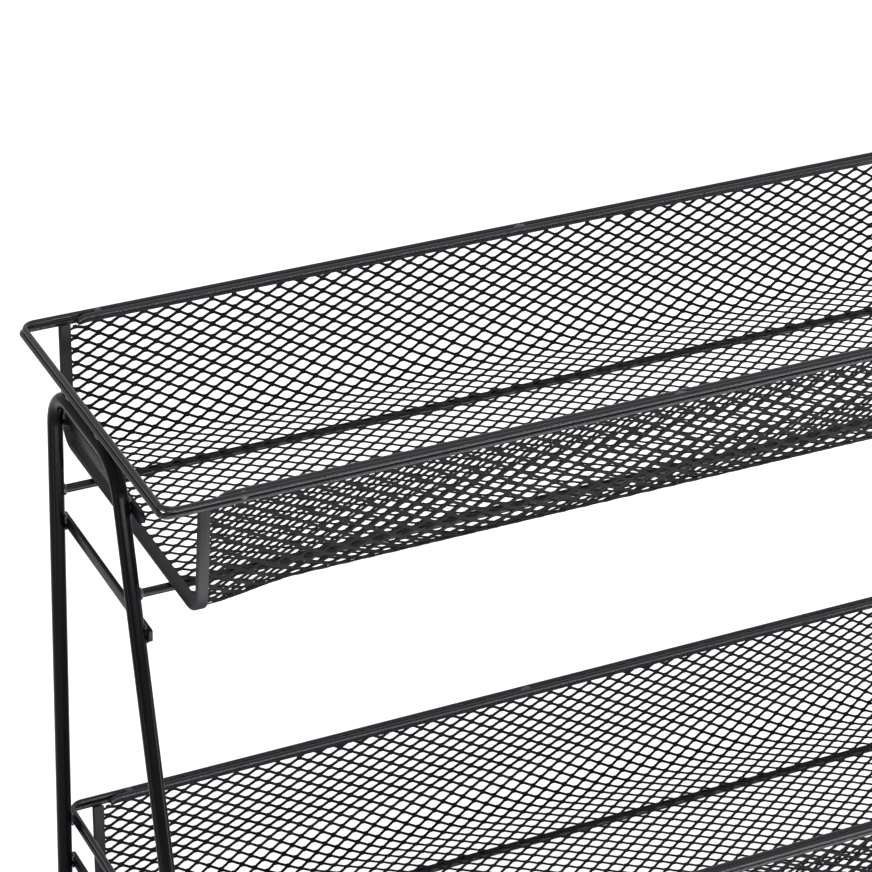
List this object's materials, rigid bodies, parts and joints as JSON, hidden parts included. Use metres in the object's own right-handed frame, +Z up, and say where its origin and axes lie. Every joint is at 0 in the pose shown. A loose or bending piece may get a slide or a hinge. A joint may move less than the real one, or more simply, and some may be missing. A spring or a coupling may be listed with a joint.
{
  "type": "two-tier organizer rack",
  "caption": "Black welded steel rack with an upper and a lower open-ended mesh tray, on bent side frames, for bottles, jars and toiletries.",
  "frame": {"origin": "on the surface the rack stands on, under the middle of its bounding box", "axes": "+X along the trays, +Y to the back, +Z up"},
  "size_m": [0.5028, 0.2306, 0.3657],
  "materials": {
    "mesh_coat": "satin black powder coat on expanded steel",
    "hem_coat": "satin black powder coat",
    "wire_coat": "semi-gloss black powder coat",
    "rod_coat": "semi-gloss black powder coat",
    "bar_coat": "semi-gloss black powder coat",
    "tie_coat": "satin black powder coat",
    "foot_rubber": "matte black rubber"
  },
  "bodies": {
    "root": {"upper_tray_mesh": "mesh_coat", "upper_front_rim_hem": "hem_coat", "upper_back_rim_hem": "hem_coat", "upper_left_end_hem": "hem_coat", "upper_right_end_hem": "hem_coat", "upper_top_rim_wire": "wire_coat", "upper_bottom_rim_wire": "wire_coat", "upper_front_cross_rod": "rod_coat", "upper_rear_cross_rod": "rod_coat", "lower_tray_mesh": "mesh_coat", "lower_front_rim_hem": "hem_coat", "lower_back_rim_hem": "hem_coat", "lower_left_end_hem": "hem_coat", "lower_right_end_hem": "hem_coat", "lower_top_rim_wire": "wire_coat", "lower_bottom_rim_wire": "wire_coat", "lower_front_cross_rod": "rod_coat", "lower_rear_cross_rod": "rod_coat", "left_side_frame": "bar_coat", "left_front_foot_cap": "foot_rubber", "left_rear_foot_cap": "foot_rubber", "left_upper_guard_tie": "tie_coat", "left_upper_under_tie": "tie_coat", "left_lower_guard_tie": "tie_coat", "left_lower_under_tie": "tie_coat", "right_side_frame": "bar_coat", "right_front_foot_cap": "foot_rubber", "right_rear_foot_cap": "foot_rubber", "right_upper_guard_tie": "tie_coat", "right_upper_under_tie": "tie_coat", "right_lower_guard_tie": "tie_coat", "right_lower_under_tie": "tie_coat"}
  },
  "joints": []
}
